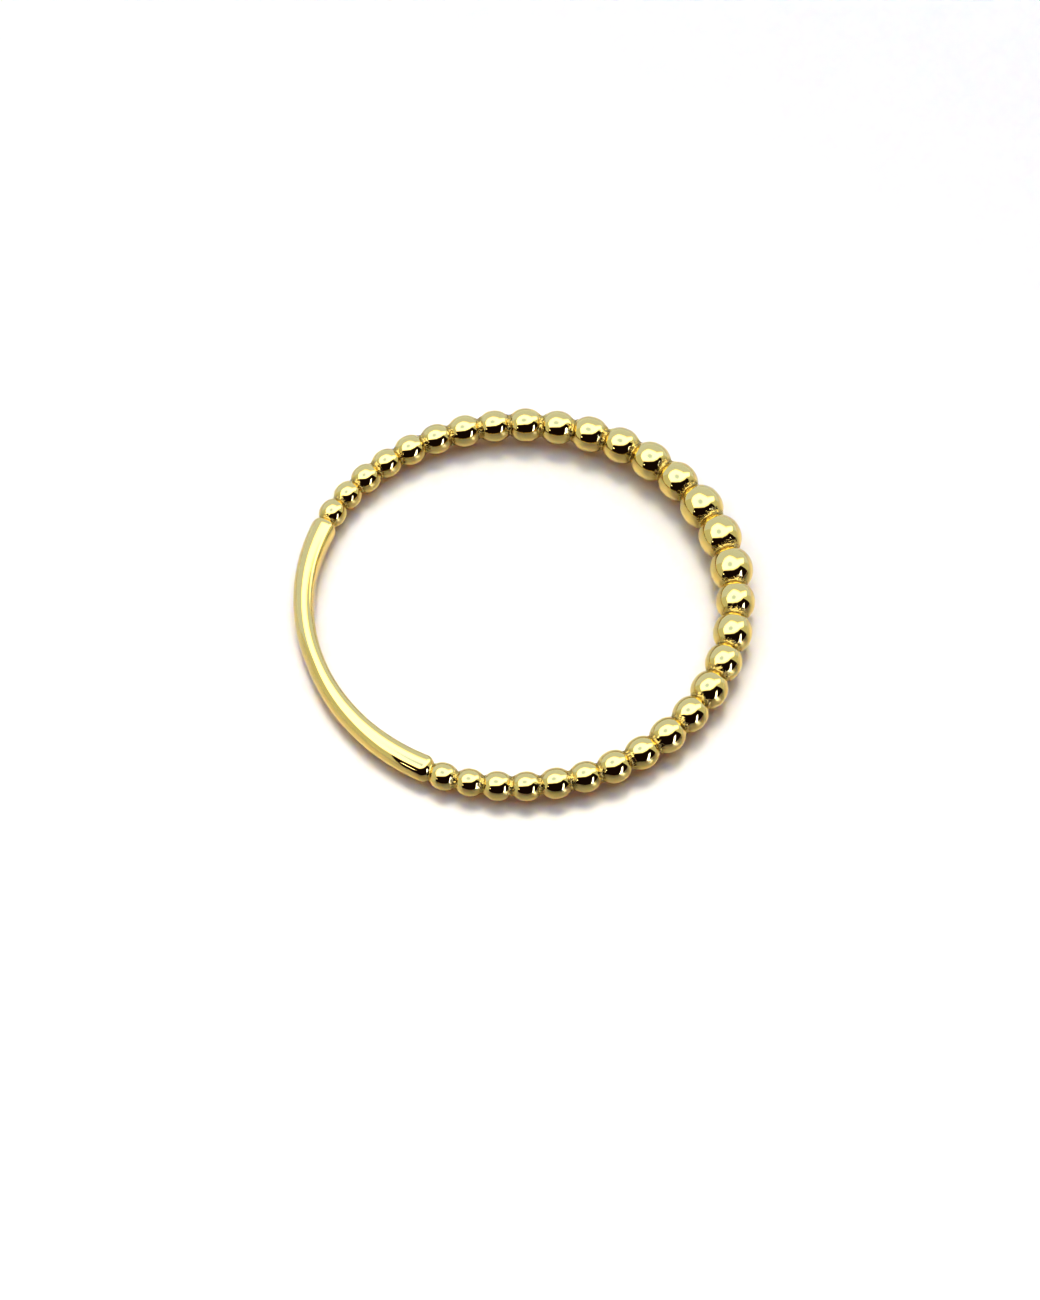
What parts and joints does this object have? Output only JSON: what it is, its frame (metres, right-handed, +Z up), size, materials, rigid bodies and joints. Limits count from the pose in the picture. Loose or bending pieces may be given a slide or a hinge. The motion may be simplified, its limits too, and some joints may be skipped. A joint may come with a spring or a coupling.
{
  "type": "ball ring",
  "caption": "Slim finger ring: a soldered row of polished balls that grow from both ends towards the front, closed at the back by a plain oval band.",
  "frame": {"origin": "middle of the ring's outline seen from above, on the surface that the ring lies on", "axes": "+Z up from the surface, along the finger hole; +X towards the largest ball; the plain band is at -X"},
  "size_m": [0.02, 0.0202, 0.0019],
  "materials": {
    "polished_gold": "polished"
  },
  "bodies": {
    "root": {"ball_ring": "polished_gold"}
  },
  "joints": []
}
